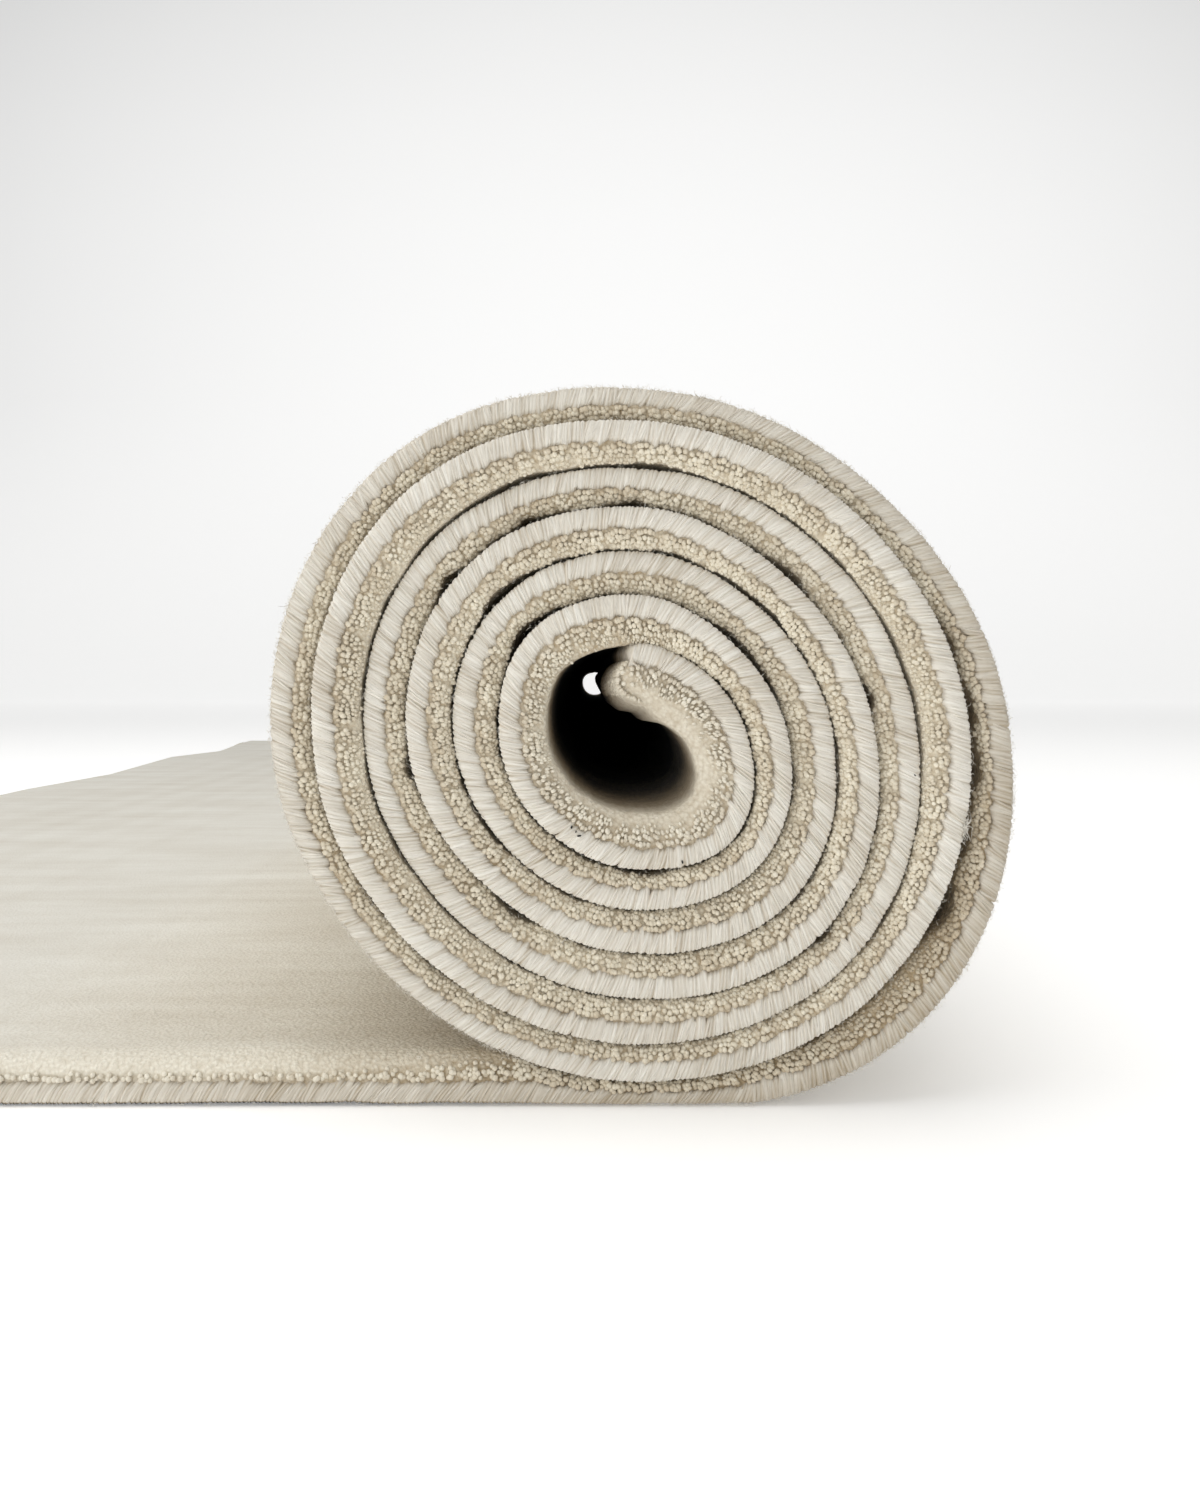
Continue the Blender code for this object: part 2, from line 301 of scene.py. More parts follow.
# %% The wool group
wool = bpy.data.node_groups.new("wool", "ShaderNodeTree")
for name, kind, value in (
    ("Light", "Color", (0.8, 0.8, 0.8, 1)), ("Dark", "Color", (0.4, 0.4, 0.4, 1)),
    ("Tone", "Float", 0.5), ("Patches", "Float", 0.2), ("Place", "Vector", (0, 0, 0)),
    ("Grain", "Float", 900.0), ("Tufts", "Float", 0.0), ("Weave", "Float", 0.0), ("Relief", "Float", 0.3),
):
    socket = wool.interface.new_socket(name, in_out="INPUT", socket_type="NodeSocket" + kind)
    socket.default_value = value
for name, kind in (("Colour", "Color"), ("Normal", "Vector")):
    wool.interface.new_socket(name, in_out="OUTPUT", socket_type="NodeSocket" + kind)
given = add_node(wool, "NodeGroupInput").outputs


def wool_math(operation, *values):
    return add_node(wool, "ShaderNodeMath", dict(enumerate(values)), operation=operation).outputs[0]


def plus(*values):
    return wool_math("ADD", *values)


def times(*values):
    return wool_math("MULTIPLY", *values)

# %% The group's patches, grain, tufts and weave
TUFTS_PER_METRE = 880.0
LUMP_MIDDLE = 0.45
THREAD_SPACING = 3.0 * MM
PATCH_STRETCH, PATCHES_PER_METRE = (0.35, 1.4, 1.0), 28.0
RELIEF_HEIGHT = 0.6 * MM
object_place = add_node(wool, "ShaderNodeTexCoord").outputs["Object"]
stretch = add_node(wool, "ShaderNodeMapping", dict(Vector=object_place, Scale=PATCH_STRETCH)).outputs[0]
patches = add_node(
    wool, "ShaderNodeTexNoise", dict(Vector=stretch, Scale=PATCHES_PER_METRE, Detail=3.0, Roughness=0.6)
)
patch = times(wool_math("SUBTRACT", patches.outputs["Fac"], 0.5), given["Patches"])
grain = add_node(
    wool, "ShaderNodeTexNoise", dict(Vector=given["Place"], Scale=given["Grain"], Detail=2.0, Roughness=0.6)
).outputs["Fac"]
fleck = wool_math("SUBTRACT", grain, 0.5)
cells = add_node(wool, "ShaderNodeTexVoronoi", dict(Vector=given["Place"], Scale=TUFTS_PER_METRE))
lump = times(wool_math("SUBTRACT", LUMP_MIDDLE, cells.outputs["Distance"]), given["Tufts"])
split = add_node(wool, "ShaderNodeSeparateXYZ", {0: given["Place"]}).outputs
threads = [wool_math("SINE", times(split[k], 2 * math.pi / THREAD_SPACING)) for k in (0, 1)]
weave = times(times(*threads), given["Weave"])
relief = plus(plus(grain, lump), weave)
bump = add_node(wool, "ShaderNodeBump", dict(Strength=given["Relief"], Distance=RELIEF_HEIGHT, Height=relief))

# %% The group's colour
# A tone of nought gives the dark colour and one the light colour. Below nought it only gets darker.
FLECK_SHADE, LUMP_SHADE, WEAVE_SHADE = 0.5, 0.35, 0.15
BRIGHTEST_TONE, DARKEST = 1.15, 0.02
# The lump term is a painted shade: each tuft is lighter in its middle and darker at its edge, between the
# tufts.
shade = plus(times(fleck, FLECK_SHADE), times(lump, LUMP_SHADE))
shade = plus(shade, times(weave, WEAVE_SHADE))
tone = plus(plus(given["Tone"], patch), shade)
depth = wool_math("MAXIMUM", wool_math("MINIMUM", plus(tone, 1.0), 1.0), DARKEST)
tone = wool_math("MINIMUM", wool_math("MAXIMUM", tone, 0.0), BRIGHTEST_TONE)
mix = add_node(
    wool, "ShaderNodeMix", {"Factor": tone, 6: given["Dark"], 7: given["Light"]},
    data_type="RGBA", clamp_factor=False,
)
deep = add_node(wool, "ShaderNodeVectorMath", {0: mix.outputs[2], "Scale": depth}, operation="SCALE")
add_node(wool, "NodeGroupOutput", dict(Colour=deep.outputs[0], Normal=bump.outputs["Normal"]))
print("wool group", len(wool.nodes), "nodes")

# %% [markdown]
# ## The materials
# Pile, cloth, yarn and backing differ only in their numbers. Seen from above the tips of the pile look greyer
# and finer than its sides, so the pile and the cloth fade to a second pair of colours there. The yarn and the
# backing take their pattern from the cloth laid flat.
# %% The four materials
FINE_TUFTS = 0.3


def wool_material(
    name, light, dark, patches=0.2, grain=1500.0, relief=0.45, roughness=0.95, sheen=0.1,
    map_scale=None, tips=None, **extra
):
    """A material that places the wool group, its tone read from the piece's own attribute."""
    material = bpy.data.materials.new(name)
    material.use_nodes = True
    tree = material.node_tree
    tone = add_node(tree, "ShaderNodeAttribute", attribute_name="tone").outputs["Fac"]
    if map_scale:
        flat_map = add_node(tree, "ShaderNodeUVMap", uv_map="cloth").outputs["UV"]
        at = add_node(tree, "ShaderNodeMapping", dict(Vector=flat_map, Scale=map_scale)).outputs["Vector"]
    else:
        at = add_node(tree, "ShaderNodeTexCoord").outputs["Object"]
    inputs = dict(Light=(*light, 1), Dark=(*dark, 1), Tone=tone, Place=at)
    inputs.update(Patches=patches, Grain=grain, Relief=relief, **extra)
    group = add_node(tree, "ShaderNodeGroup", inputs, node_tree=wool)
    if tips:
        fade = add_node(tree, "ShaderNodeAttribute", attribute_name="tips").outputs["Fac"]
        for socket, near, far in (("Light", light, tips[0]), ("Dark", dark, tips[1])):
            ends = {"Factor": fade, 6: (*near, 1), 7: (*far, 1)}
            mix = add_node(tree, "ShaderNodeMix", ends, data_type="RGBA")
            tree.links.new(mix.outputs[2], group.inputs[socket])
        tufts = group.inputs["Tufts"].default_value
        finer = {"Value": fade, "To Min": tufts, "To Max": tufts * FINE_TUFTS}
        finer = add_node(tree, "ShaderNodeMapRange", finer)
        tree.links.new(finer.outputs[0], group.inputs["Tufts"])
    set_inputs(tree, tree.nodes["Principled BSDF"], {
        "Roughness": roughness, "Sheen Weight": sheen, "Sheen Roughness": 0.5, "Specular IOR Level": 0.2,
        "Base Color": group.outputs["Colour"], "Normal": group.outputs["Normal"],
    })
    return material


PILE_COLOURS = (0.90, 0.85, 0.715), (0.44, 0.345, 0.22)
TIP_COLOURS = (0.83, 0.82, 0.765), (0.57, 0.52, 0.43)
YARN_COLOURS = (0.85, 0.82, 0.745), (0.45, 0.375, 0.27)
BACKING_COLOURS = (0.74, 0.69, 0.59), (0.42, 0.36, 0.27)
pile_material = wool_material("pile", *PILE_COLOURS, tips=TIP_COLOURS)
cloth_material = wool_material("cloth", *PILE_COLOURS, patches=0.8, relief=0.5, tips=TIP_COLOURS, Tufts=1.7)
yarn_material = wool_material(
    "yarn", *YARN_COLOURS, grain=1900.0, relief=1.0, roughness=0.85, map_scale=(1.0, 0.08, 1.0)
)
backing_material = wool_material(
    "backing", *BACKING_COLOURS, patches=0.3, grain=1400.0, relief=0.8, sheen=0.05,
    map_scale=(1.0, 1.0, 1.0), Weave=0.8,
)
print("materials", [material.name for material in bpy.data.materials])

# %% [markdown]
# ## From arrays to meshes
# A carpet has thousands of equal tufts and wraps. One of each is modelled on its own. Its points are repeated
# with numpy, each copy bent to its own place, and all copies go into one mesh at once.
# %% Mesh helpers
def mesh_object(name, points, faces, tones, materials, face_materials=None, flat=None, tips=None):
    """A smooth-shaded object from arrays of points and of faces with equal numbers of corners."""
    points = np.asarray(points, np.float32).reshape(-1, 3)
    faces = np.asarray(faces, np.int32)
    corners = faces.shape[1]
    a, b, c = (points[faces[:, i]] for i in range(3))
    if (a * np.cross(b, c)).sum() < 0:  # the copies came out mirrored, so their faces are turned outwards
        faces = np.ascontiguousarray(faces[:, ::-1])
    mesh = bpy.data.meshes.new(name)
    mesh.vertices.add(len(points))
    mesh.vertices.foreach_set("co", points.ravel())
    mesh.loops.add(faces.size)
    mesh.loops.foreach_set("vertex_index", faces.ravel())
    mesh.polygons.add(len(faces))
    mesh.polygons.foreach_set("loop_start", np.arange(0, faces.size, corners, dtype=np.int32))
    if face_materials is not None:
        mesh.polygons.foreach_set("material_index", np.asarray(face_materials, np.int32))
    mesh.update(calc_edges=True)
    for key, values in (("tone", tones), ("tips", tips)):
        if values is not None:
            values = np.asarray(values, np.float32).ravel()
            mesh.attributes.new(key, "FLOAT", "POINT").data.foreach_set("value", values)
    if flat is not None:
        at_corners = np.asarray(flat, np.float32).reshape(-1, 2)[faces.ravel()]
        mesh.uv_layers.new(name="cloth").data.foreach_set("uv", at_corners.ravel())
    for material in materials:
        mesh.materials.append(material)
    mesh.shade_smooth()
    made = bpy.data.objects.new(name, mesh)
    bpy.context.scene.collection.objects.link(made)
    return made


def take_template():
    """The active object's points and triangles, which are then removed from the scene."""
    source = bpy.context.active_object
    bpy.ops.object.mode_set(mode="OBJECT")
    mesh = source.data
    mesh.calc_loop_triangles()
    points = np.empty(len(mesh.vertices) * 3, np.float32)
    mesh.vertices.foreach_get("co", points)
    triangles = np.empty(len(mesh.loop_triangles) * 3, np.int32)
    mesh.loop_triangles.foreach_get("vertices", triangles)
    bpy.data.objects.remove(source)
    bpy.data.meshes.remove(mesh)
    return points.reshape(-1, 3).astype(float), triangles.reshape(-1, 3)


def triangles_of(piece):
    piece.data.calc_loop_triangles()
    return len(piece.data.loop_triangles)


def select_only(piece):
    bpy.ops.object.select_all(action="DESELECT")
    piece.select_set(True)
    bpy.context.view_layer.objects.active = piece


def lay_copies(name, points, faces, tones, material, tips=None, flat=None):
    """One piece of many copies of a shape, which are already bent to their places."""
    copies, each = points.shape[:2]
    faces = (faces + (np.arange(copies) * each)[:, None, None]).reshape(-1, 3)
    tones = np.broadcast_to(tones, (copies, each))
    tips = None if tips is None else np.broadcast_to(tips, (copies, each))
    made = mesh_object(name, points, faces, tones, [material], tips=tips, flat=flat)
    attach(made, "root")
    print(name, copies, "copies,", triangles_of(made), "triangles")
    return made

# %% [markdown]
# ## The carpet
# The cloth itself is one closed sheet: the woven backing outside, the pile's tips inside, and the pile
# rounding over at its edges. It is a grid of sections along the winding, so it is made in mesh code. The
# backing steps back under the yarn at the edges, and the two ends are rounded over the same way.
# %% The edges of the cloth
PRESSED_ROUNDING, LOOSE_ROUNDING = 3.2 * MM, 8.0 * MM
KNOBBLY, LOOSE_KNOBBLY = 6.5 * MM, 1.9 * MM
LOOSENING = 80 * MM
PILE_FRONT = 1.5 * MM
SIDE_STEPS = 6
YARN_ROOM = 0.9 * MM
YARN_REACH = 5.2 * MM
HALF_ACROSS = np.array([2.2, 5.0, 6.5, 10, 14, 20, 28, 40, 60, 100, 180, 300, 440, 600, 800]) * MM
ACROSS = np.concatenate([HALF_ACROSS, [WIDTH / 2], WIDTH - HALF_ACROSS[::-1]])


def loose_share(along):
    """Nought in the roll and one on the loose end, where nothing presses on the pile."""
    return np.clip((along - ROLLED) / LOOSENING, 0, 1)


def edge_rounding(along):
    """How deep the pile rounds over at the long edges."""
    return PRESSED_ROUNDING + (LOOSE_ROUNDING - PRESSED_ROUNDING) * loose_share(along)


def knobbly_height(along):
    """How far up the edge single tufts show."""
    return KNOBBLY + (LOOSE_KNOBBLY - KNOBBLY) * loose_share(along)

# %% [markdown]
# ## The pile over the two ends
# At an end the pile has no neighbour to lean on, so it fans out over the yarn: the tips nearest the end lie
# over furthest and stand lowest. At the rolled-in end they make a round nose, and at the loose end they
# hardly reach past the yarn.
# %% The fan
FAN_STEPS = np.array([1.2, 1.4, 1.8, 2.4, 3.6, 4.8, 5.4]) * MM
FAN_ANGLES = np.radians([-66, -36, -12, 12, 36, 62, 90])
FAN_FOOT = -0.59
FAN_STANDS = (np.sin(FAN_ANGLES) - FAN_FOOT) / (1 - FAN_FOOT)
FAN_REACH = 12 * MM
FAN_MIDDLE = 3.0 * MM
NOSE, BUTT = 3.5 * MM, 0.4 * MM


def fan_line(angles, out):
    """How far from the end the pile's tips come to stand when it fans out over the yarn."""
    return FAN_MIDDLE - (FAN_MIDDLE + out) * np.cos(angles)


def end_fan(along):
    """The share of the pile's height that stands near an end, and how far its tips lean towards that end."""
    from_end = np.minimum(along, LENGTH - along)
    stands = np.interp(from_end, FAN_STEPS, FAN_STANDS)
    nose, butt = (
        np.interp(from_end, [*FAN_STEPS, FAN_REACH], [*(fan_line(FAN_ANGLES, out) - FAN_STEPS), 0.0])
        for out in (NOSE, BUTT)
    )
    return stands, np.where(along < LENGTH / 2, nose, -butt)

# %% One section of the cloth
def section_points(along):
    """Out along the backing and home over the pile: depth, height and share of the pile's height."""
    from_end = min(along, LENGTH - along)
    foot = binding_height(along)
    stands = float(end_fan(along)[0])
    backing = [
        (depth, YARN_ROOM if min(depth, WIDTH - depth, from_end) < YARN_REACH else 0.0, 0.0)
        for depth in ACROSS
    ]
    turn = np.linspace(0, np.pi / 2, SIDE_STEPS)
    depths, shares = PILE_FRONT + edge_rounding(along) * (1 - np.cos(turn)), np.sin(turn)
    front_pile = (front_thickness(along, depths) - foot) * stands
    back_pile = (back_thickness(along, depths) - foot) * stands
    front = list(zip(depths, foot + front_pile * shares, shares))
    back = list(zip(WIDTH - depths, foot + back_pile * shares, shares))
    round_edge = PILE_FRONT + LOOSE_ROUNDING
    inner = [depth for depth in ACROSS[::-1] if round_edge < min(depth, WIDTH - depth)]
    tips = [(depth, foot + (front_thickness(along, depth) - foot) * stands, 1.0) for depth in inner]
    return [*backing, *back, *tips, *front[::-1]]

# %% [markdown]
# ## Shade in the cloth
# Pile swallows light between its fibres, and a closed sheet can't. So part of the shade is painted in the
# tones:
# the core goes dark a few centimetres in, and the foot of the pile, the hollows, the pile low in the outer
# turn and the pile beside the roll are painted darker.
# %% The shades
CORE_TURNS, CORE_SHADE = 0.5, 1.6
CORE_MOUTH, CORE_FADE = 12 * MM, 50 * MM
NOSE_REACH, NOSE_LIGHT = 30 * MM, 0.5
OVERHANG_TURN, OVERHANG_HALF, OVERHANG_SHADE = 0.94, 22 * MM, 0.75
CORE_LENGTH = 0.16
CORE_CREAM = 0.16
CORE_GREY = 0.25
TIP_TONE, FOOT_TONE = 0.68, 0.36
ROLL_SHADE, ROLL_SHADE_AT, ROLL_SHADE_FADE = 0.9, 10 * MM, 30 * MM
HOLLOW_SHADE, FULL_HOLLOW = 0.7, 3.5 * MM
UNDER_SHADE, UNDER_AT, UNDER_HALF = 0.3, -100 * MM, 65 * MM
EDGE_TONE, BACKING_TONE = 0.1, 0.6


def core_share(along):
    """One on the innermost pile, which nothing presses on, and nought in the turns around it."""
    return bell(along, 0, CORE_LENGTH, 6)


def core_shade(along, from_edge):
    """Deep in the core hardly any light comes in, and none on the turn that hangs over the nose."""
    reach = 1 + NOSE_LIGHT * bell(along, 0, NOSE_REACH)
    deep = 1 - np.exp(-np.maximum(from_edge / reach - CORE_MOUTH, 0) / CORE_FADE)
    overhang = bell(along, along_at(OVERHANG_TURN), OVERHANG_HALF, 4)
    overhang = OVERHANG_SHADE * overhang * np.interp(from_edge, [1.2 * MM, 6.5 * MM], [0.0, 1.0])
    return CORE_SHADE * bell(along, 0, CORE_TURNS, 8) * deep + overhang


def under_shade(along):
    """Painted shade on the pile low in the outer turn, which lies in the shade of the turns above it."""
    return UNDER_SHADE * bell(along, ROLLED + UNDER_AT, UNDER_HALF)


def grey_tips(along, from_edge):
    """The tips seen from above look greyer than the sides of the tufts."""
    loose = np.clip((along - ROLLED) / 0.2, 0, 1) * np.interp(from_edge, [1 * MM, 12 * MM], [0.45, 1])
    return np.maximum(loose, CORE_GREY * core_share(along))

# %% The sections in a row
near_end = np.concatenate([FAN_STEPS, [7 * MM]])
stations = np.concatenate([
    near_end,
    np.arange(9 * MM, 0.3, 2.5 * MM),
    np.arange(0.3, ROLLED, 4.0 * MM),
    np.arange(ROLLED, LENGTH - 9 * MM, 6 * MM),
    LENGTH - near_end[::-1],
])
sections = np.array([section_points(s) for s in stations])
count = sections.shape[1]
depths, heights, shares = (sections[:, :, k] for k in range(3))
rows = stations[:, None]
fanned = rows + end_fan(rows)[1] * shares
cloth_points = place(fanned, depths, heights)
first = np.arange(len(stations) - 1)[:, None] * count
here = np.arange(count)
beside = (here + 1) % count
skin = np.stack([first + here, first + beside, first + count + beside, first + count + here], axis=-1)
skin = skin.reshape(-1, 4)
is_backing = np.tile(here < len(ACROSS), len(stations) - 1)

# %% The cloth's tones and its mesh
from_edge = np.minimum(depths, WIDTH - depths)
climb = (heights - binding_height(rows)) / knobbly_height(rows)
cloth_tones = FOOT_TONE + (TIP_TONE - FOOT_TONE) * np.clip(climb, 0, 1) ** 1.5
cloth_tones = np.maximum(cloth_tones, np.interp(from_edge, [4.5 * MM, 8 * MM], [FOOT_TONE, TIP_TONE]))
cloth_tones -= core_shade(rows, from_edge)
# Painted shade on the loose end's pile where the roll rests on it.
cloth_tones -= ROLL_SHADE * np.exp(-np.abs(rows - ROLLED - ROLL_SHADE_AT) / ROLL_SHADE_FADE)
cloth_tones -= CORE_CREAM * core_share(rows) + under_shade(rows)
# Painted shade in the hollows between the turns, growing deeper in from the edge.
hollow_share = np.clip(hollow(rows) / FULL_HOLLOW, 0, 1)
cloth_tones -= HOLLOW_SHADE * hollow_share * np.interp(from_edge, [2 * MM, 8 * MM], [0.0, 1.0])
backing_tones = np.interp(from_edge, [YARN_REACH, 7 * MM], [EDGE_TONE, BACKING_TONE])
cloth_tones[:, : len(ACROSS)] = backing_tones[:, : len(ACROSS)]
carpet = mesh_object(
    "carpet_cloth", cloth_points, skin, cloth_tones, [cloth_material, backing_material], is_backing,
    flat=np.stack([np.broadcast_to(rows, depths.shape), depths], axis=-1),
    tips=grey_tips(rows, from_edge),
)
print("carpet", triangles_of(carpet), "triangles,", len(stations), "sections of", count)

# %% Close the carpet's two ends
select_only(carpet)
bpy.ops.object.mode_set(mode="EDIT")
bpy.ops.mesh.select_mode(type="EDGE")
bpy.ops.mesh.select_all(action="DESELECT")
bpy.ops.mesh.select_non_manifold(extend=False, use_wire=False, use_multi_face=False, use_non_contiguous=False)
bpy.ops.mesh.fill_holes(sides=0)
bpy.ops.mesh.select_all(action="SELECT")
bpy.ops.mesh.normals_make_consistent(inside=False)
bpy.ops.object.mode_set(mode="OBJECT")
carpet.data.shade_smooth()
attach(carpet, "root")
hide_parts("carpet")
print("carpet closed", triangles_of(carpet), "triangles")

# %% [markdown]
# ## Bunches of tufts
# The tufts at the edge gather in small bunches, two to seven tufts wide, with a crease between one bunch and
# the next. The wraps of yarn end lower under a bunch and reach up between two. So the bunches are laid out
# first, and the tufts and the yarn both follow them.
# %% Lay out the bunches
rng = np.random.default_rng(12)
TUFT = 1.1 * MM
CREASE = 0.6 * MM
BUNCH_SIZES = (2, 3, 4, 4, 5, 5, 6, 7)
EDGE_WANDER = ((0.25 * MM, 31, 3), (0.12 * MM, 9, 4))  # the edge is hand made: it comes forward and back
BAND_WANDER = ((0.05, 23, 5), (0.03, 8, 6))  # and the band of yarn is wider here and narrower there


def lay_out_bunches(length, tuft):
    """Where each bunch starts, how wide it is, and how many tufts it has."""
    sizes = rng.choice(BUNCH_SIZES, size=int(length / tuft))
    ends = np.cumsum(sizes * tuft + CREASE)
    sizes = sizes[: int(np.searchsorted(ends, length))]
    widths = sizes * tuft + CREASE
    starts = np.concatenate([[0.0], np.cumsum(widths)[:-1]])
    return starts, widths, sizes


def bunch_swell(along, starts, widths):
    """One at the middle of a bunch and nought at a crease, and which bunch it is."""
    which = np.clip(np.searchsorted(starts, along, side="right") - 1, 0, len(starts) - 1)
    across = np.clip((along - starts[which]) / widths[which] * 2 - 1, -1, 1)
    return np.sqrt(1 - across**2), which


front_bunches = lay_out_bunches(LENGTH, TUFT)
print("bunches along the front", len(front_bunches[0]))

# %% [markdown]
# ## The whipped edge
# Yarn goes round and round over the cut edge of the backing, each wrap close beside the last. One wrap is a
# short tube that lies under the backing, turns up over the edge and dives into the foot of the pile. Wraps
# lean together in groups, because the yarn moves on with each stitch.
# %% One wrap of yarn
WRAP_PITCH = 1.0 * MM
YARN_PROFILE = ((-0.84, 0.25), (0, -0.22), (0.84, 0.25))
WRAP_LINE = (
    (4.6, 0.35), (2.4, 0.3), (1.1, 0.5), (0.5, 1.2), (0.25, 2.4), (0.2, 3.8), (0.42, 5), (1.1, 5.95),
    (2.6, 6.6),
)


def poly_line(points, closed=False):
    """A curve object of straight pieces through points given in millimetres."""
    bpy.ops.curve.primitive_bezier_curve_add()
    curve = bpy.context.active_object
    curve.data.splines.clear()
    spline = curve.data.splines.new("POLY")
    spline.points.add(len(points) - 1)
    for point, place_at in zip(spline.points, points):
        point.co = (*(value * MM for value in place_at), 1)
    spline.use_cyclic_u = closed
    return curve


def make_wrap(line):
    """The flat yarn swept along the wrap's line: X along the edge, Y the depth, Z the height."""
    profile = poly_line([(x, y, 0) for x, y in YARN_PROFILE], closed=True)
    wrap = poly_line([(0, depth, height) for depth, height in line])
    wrap.data.bevel_mode = "OBJECT"
    wrap.data.bevel_object = profile
    wrap.data.use_fill_caps = True
    select_only(wrap)
    bpy.ops.object.convert(target="MESH")
    bpy.data.objects.remove(profile)
    return take_template()


long_wrap = make_wrap(WRAP_LINE)
print("one wrap", len(long_wrap[1]), "triangles")

# %% The tones of the wraps
GROUP_CHANCE = 1 / 7
YARN_TONE, OWN_TONE, GROUP_TONE = 0.82, 0.07, 0.04
SIDE_SHADE, YARN_SIDE = 0.6, 0.3 * MM
TOP_SHADE = 0.9
FLOOR_SHADE, FLOOR_HEIGHT = 2.0, 0.55 * MM
OUTER_TURN, OUTER_SHADE = 0.55, 0.2
LOOSE_SHADE = 0.22


def wrap_tones(at, groups, across, height, random):
    """Each wrap has its own tone, and shade at its sides, in the pile's foot and down by the floor."""
    high = height / (BINDING_HEIGHT / 2)
    loose = loose_share(at)[:, None]
    tone = YARN_TONE + random.normal(0, OWN_TONE, len(at))
    tone += GROUP_TONE * random.normal(0, 1, groups.max() + 1)[groups]
    tones = np.clip(tone, 0, 1)[:, None] - TOP_SHADE * np.clip(high - 1.85, 0, 0.4)
    side_shade = SIDE_SHADE * random.uniform(0.2, 1.3, len(at))
    tones -= side_shade[:, None] * (np.abs(across) > YARN_SIDE)
    tones -= FLOOR_SHADE * loose * (height < FLOOR_HEIGHT)
    outer_turn = np.clip((at - ROLLED + OUTER_TURN) / 0.05, 0, 1) * (1 - loose_share(at))
    outer = OUTER_SHADE * outer_turn * np.interp(at, [ROLLED - 0.3, ROLLED - 0.12], [0.4, 2.0])
    return tones - outer[:, None] * np.clip(1.4 - 0.5 * high, 0, 1) - LOOSE_SHADE * loose

# %% Lay wraps along an edge
CORNER = 2.6 * MM
LEAN, GROUP_LEAN, OWN_LEAN, LOOSE_LEAN = -0.35, 0.14, 0.08, 0.25


def lay_wraps(name, length, template, pitch, to_place, seed, height_at=None, bunches=None):
    """One mesh of wraps along an edge, bent to its shape. At an end its height is the one at height_at."""
    points, faces = template
    across, behind, height = points.T
    random = np.random.default_rng(seed)
    at = np.arange(pitch, length - pitch / 2, pitch)
    at += random.uniform(-0.2, 0.2, len(at)) * pitch
    groups = np.cumsum(random.random(len(at)) < GROUP_CHANCE)
    lean = LEAN - 0.1 * slow_noise(at, 60 * MM, seed)
    lean += random.uniform(-GROUP_LEAN, GROUP_LEAN, groups.max() + 1)[groups]
    lean = lean + random.normal(0, OWN_LEAN, len(at)) - loose_share(at) * LOOSE_LEAN
    swell = bunch_swell(at, *bunches[:2])[0] if bunches else 0.5
    reach = binding_height(at if height_at is None else height_at)
    reach = reach * (1 + waves(at, BAND_WANDER)) / BINDING_HEIGHT
    top = 0.1 - 0.22 * swell + random.normal(0, 0.02, len(at))
    depth = waves(at, EDGE_WANDER) + random.normal(0, 0.06, len(at)) * MM
    width = random.uniform(0.85, 1.3, len(at))
    middle = BINDING_HEIGHT / 2
    x = at[:, None] + across * width[:, None] + lean[:, None] * (height - middle)
    y = behind + depth[:, None]
    z = height * reach[:, None] * (1 + top[:, None] * np.clip(height / middle - 1, 0, 1))
    from_corner = np.minimum(at, length - at)
    corner = CORNER * (1 - np.sqrt(1 - (1 - np.clip(from_corner / CORNER, 0, 1)) ** 2))[:, None]
    z = corner + z * (1 - corner / BINDING_HEIGHT)
    tones = wrap_tones(at, groups, across, height, random)
    if height_at == 0.0:  # the rolled-in end lies deep in the core
        tones -= 2 * core_shade(0.0, from_corner + 6 * MM)[:, None]
    flat = np.stack(np.broadcast_arrays(at[:, None] + across, height - behind), axis=-1)
    made = lay_copies(name, to_place(x, y, z), faces, tones, yarn_material, flat=flat)
    made.data.set_sharp_from_angle(angle=math.radians(65))
    return made

# %% The four whipped edges
HIDDEN_PITCH = 1.05 * MM
short_wrap = make_wrap(WRAP_LINE[::2])


def along_back(x, y, z):
    return place(x, WIDTH - y, z)


yarns = [lay_wraps("front_whipping", LENGTH, long_wrap, WRAP_PITCH, place, 21, bunches=front_bunches)]
for name, length, to_place, seed, height_at in (
    ("back_whipping", LENGTH, along_back, 22, None),
    ("rolled_end_whipping", WIDTH, lambda x, y, z: place(y, x, z), 23, 0.0),
    ("loose_end_whipping", WIDTH, lambda x, y, z: place(LENGTH - y, x, z), 24, LENGTH),
):
    yarns.append(lay_wraps(name, length, short_wrap, HIDDEN_PITCH, to_place, seed, height_at))
for yarn, node in zip(yarns, ("binding_front", "binding_back", "binding_rolled_end", "binding_loose_end")):
    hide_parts(node)

# %% [markdown]
# ## The tufts at the edge
# Seen from the front the pile is a face of small round tuft ends, deeper in the creases. One tuft is a small
# lump, copied in rows from the yarn up and over to the tips. The free pile at the core has more rows than the
# pressed pile between two turns.
# %% One tuft
def ball_template(radius):
    """The points and triangles of a small ball of flat faces."""
    bpy.ops.object.select_all(action="DESELECT")
    bpy.ops.mesh.primitive_ico_sphere_add(subdivisions=1, radius=radius)
    return take_template()


tuft_points, tuft_faces = ball_template(0.5)
print("one tuft", len(tuft_faces), "triangles")

# %% Rows of tufts
def turned(points, count, random):
    """Copies of some points, each turned its own way."""
    axis = random.normal(size=(count, 4))
    w, x, y, z = (axis / np.linalg.norm(axis, axis=1, keepdims=True)).T
    turn = np.stack([
        1 - 2 * (y * y + z * z), 2 * (x * y - w * z), 2 * (x * z + w * y),
        2 * (x * y + w * z), 1 - 2 * (x * x + z * z), 2 * (y * z - w * x),
        2 * (x * z - w * y), 2 * (y * z + w * x), 1 - 2 * (x * x + y * y),
    ], axis=-1).reshape(-1, 3, 3)
    return np.einsum("nij,pj->npi", turn, points)


